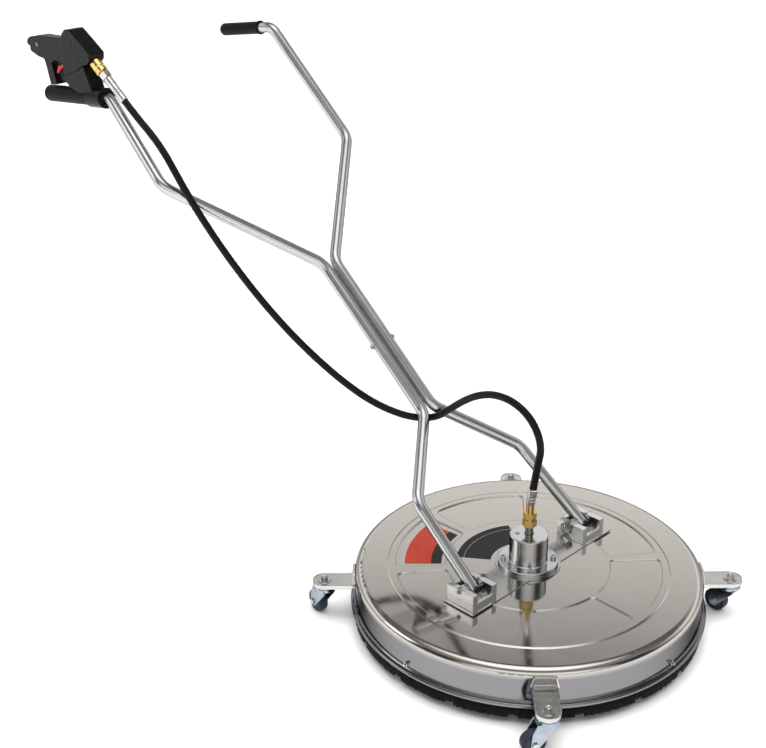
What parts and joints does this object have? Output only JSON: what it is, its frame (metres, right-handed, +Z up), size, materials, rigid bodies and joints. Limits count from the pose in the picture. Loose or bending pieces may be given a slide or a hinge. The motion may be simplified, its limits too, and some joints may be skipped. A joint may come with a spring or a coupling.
{
  "type": "surface cleaner",
  "caption": "Round stainless pressure-washer surface cleaner on swivel casters, with a spinning spray arm, a brush skirt, a folding two-tube handle, a trigger gun and a hose.",
  "frame": {"origin": "on the floor, under the swivel's vertical axis at the deck's centre", "axes": "+Z up; -Y is the edge that leads in use; the handle leans back towards +Y, where the operator stands; +X is on the left hand of an operator who faces -Y"},
  "size_m": [0.762, 1.7431, 1.145],
  "materials": {
    "black_grip": "moulded black rubber",
    "black_plastic": "moulded black plastic",
    "bracket_steel": "bright zinc-plated steel",
    "brass": "machined brass",
    "brush_black": "black nylon bristle",
    "caster_zinc": "blue zinc-plated pressed steel",
    "dark_steel": "dark machined steel",
    "deck_steel": "mirror-polished stainless sheet",
    "fastener_steel": "bright plated steel",
    "hose_black": "black hose cover",
    "hub_grey": "dark grey moulded nylon",
    "label_print": "printed film, no lettering",
    "machined_alu": "machined and polished",
    "red_plastic": "red plastic",
    "strap_steel": "brushed stainless strip",
    "tube_zinc": "bright plated steel tube",
    "tyre_grey": "dark grey rubber"
  },
  "bodies": {
    "deck": {"deck_cover": "deck_steel", "cross_strap": "strap_steel", "deck_labels": "label_print", "skirt_ring": "dark_steel", "skirt_brushes": "brush_black", "skirt_bolts": "fastener_steel", "caster_nuts": "fastener_steel", "caster_races": "caster_zinc", "channel_left": "machined_alu", "channel_right": "machined_alu", "channel_bolts": "fastener_steel", "swivel_body": "machined_alu", "swivel_bolts": "fastener_steel", "swivel_bearings": "dark_steel", "swivel_seal": "brush_black", "swivel_nipple": "dark_steel", "swivel_fitting": "brass", "hose_ferrule_swivel": "fastener_steel", "caster_bracket_front_left": "bracket_steel", "caster_bracket_front_right": "bracket_steel", "caster_bracket_back_right": "bracket_steel", "caster_bracket_back_left": "bracket_steel"},
    "rotor": {"rotor_shaft": "dark_steel", "rotor_hub": "strap_steel", "spray_arm": "strap_steel", "nozzle_tips": "brass"},
    "handle": {"handle_tube_left": "tube_zinc", "handle_tube_right": "tube_zinc", "handle_hardware": "fastener_steel", "grip_left": "black_grip", "grip_right": "black_grip", "gun_mount": "black_plastic", "gun_shell_left": "black_plastic", "gun_shell_right": "black_plastic", "gun_valve_body": "brass", "gun_fasteners": "fastener_steel", "gun_inlet": "fastener_steel", "gun_outlet": "brass", "hose_ferrule_gun": "fastener_steel", "hose": "hose_black"},
    "trigger_body": {"trigger": "black_plastic"},
    "latch_body": {"trigger_latch": "red_plastic"},
    "pin_left": {"pivot_pin_left": "fastener_steel"},
    "pin_right": {"pivot_pin_right": "fastener_steel"},
    "fork_front_left": {"caster_fork_front_left": "caster_zinc", "caster_axle_front_left": "fastener_steel"},
    "wheel_front_left": {"wheel_hub_front_left": "hub_grey", "wheel_tyre_front_left": "tyre_grey"},
    "fork_front_right": {"caster_fork_front_right": "caster_zinc", "caster_axle_front_right": "fastener_steel"},
    "wheel_front_right": {"wheel_hub_front_right": "hub_grey", "wheel_tyre_front_right": "tyre_grey"},
    "fork_back_right": {"caster_fork_back_right": "caster_zinc", "caster_axle_back_right": "fastener_steel"},
    "wheel_back_right": {"wheel_hub_back_right": "hub_grey", "wheel_tyre_back_right": "tyre_grey"},
    "fork_back_left": {"caster_fork_back_left": "caster_zinc", "caster_axle_back_left": "fastener_steel"},
    "wheel_back_left": {"wheel_hub_back_left": "hub_grey", "wheel_tyre_back_left": "tyre_grey"}
  },
  "joints": [
    {"name": "rotor_spin", "type": "hinge", "parent": "deck", "child": "rotor", "pos_m": [0, 0, 0.15], "axis": [0, 0, 1], "continuous": true},
    {"name": "handle_fold", "type": "hinge", "parent": "deck", "child": "handle", "pos_m": [0, 0.003, 0.16], "axis": [1, 0, 0], "range_deg": [0, 50], "deforming": ["hose"]},
    {"name": "trigger_pull", "type": "hinge", "parent": "handle", "child": "trigger_body", "pos_m": [-0.252, 1.226, 1.069], "axis": [1, 0, 0], "range_deg": [0, 10], "stiffness_Nm_per_rad": 1.5, "springref_deg": -5.73},
    {"name": "latch_flip", "type": "hinge", "parent": "trigger_body", "child": "latch_body", "pos_m": [-0.252, 1.236, 1.046], "axis": [1, 0, 0], "range_deg": [0, 40]},
    {"name": "pin_left_pull", "type": "slide", "parent": "deck", "child": "pin_left", "axis": [1, 0, 0], "range_m": [0, 0.072]},
    {"name": "pin_right_pull", "type": "slide", "parent": "deck", "child": "pin_right", "axis": [-1, 0, 0], "range_m": [0, 0.072]},
    {"name": "caster_swivel_front_left", "type": "hinge", "parent": "deck", "child": "fork_front_left", "pos_m": [-0.30943, -0.30943, 0.07], "axis": [0, 0, 1], "continuous": true},
    {"name": "wheel_spin_front_left", "type": "hinge", "parent": "fork_front_left", "child": "wheel_front_left", "pos_m": [-0.33368, -0.29543, 0.025], "axis": [-0.5, -0.866, 0], "continuous": true},
    {"name": "caster_swivel_front_right", "type": "hinge", "parent": "deck", "child": "fork_front_right", "pos_m": [0.30943, -0.30943, 0.07], "axis": [0, 0, 1], "continuous": true},
    {"name": "wheel_spin_front_right", "type": "hinge", "parent": "fork_front_right", "child": "wheel_front_right", "pos_m": [0.31041, -0.28145, 0.025], "axis": [-0.9994, 0.0349, 0], "continuous": true},
    {"name": "caster_swivel_back_right", "type": "hinge", "parent": "deck", "child": "fork_back_right", "pos_m": [0.30943, 0.30943, 0.07], "axis": [0, 0, 1], "continuous": true},
    {"name": "wheel_spin_back_right", "type": "hinge", "parent": "fork_back_right", "child": "wheel_back_right", "pos_m": [0.29894, 0.33539, 0.025], "axis": [-0.9272, -0.3746, 0], "continuous": true},
    {"name": "caster_swivel_back_left", "type": "hinge", "parent": "deck", "child": "fork_back_left", "pos_m": [-0.30943, 0.30943, 0.07], "axis": [0, 0, 1], "continuous": true},
    {"name": "wheel_spin_back_left", "type": "hinge", "parent": "fork_back_left", "child": "wheel_back_left", "pos_m": [-0.30457, 0.337, 0.025], "axis": [-0.9848, 0.1736, 0], "continuous": true}
  ]
}
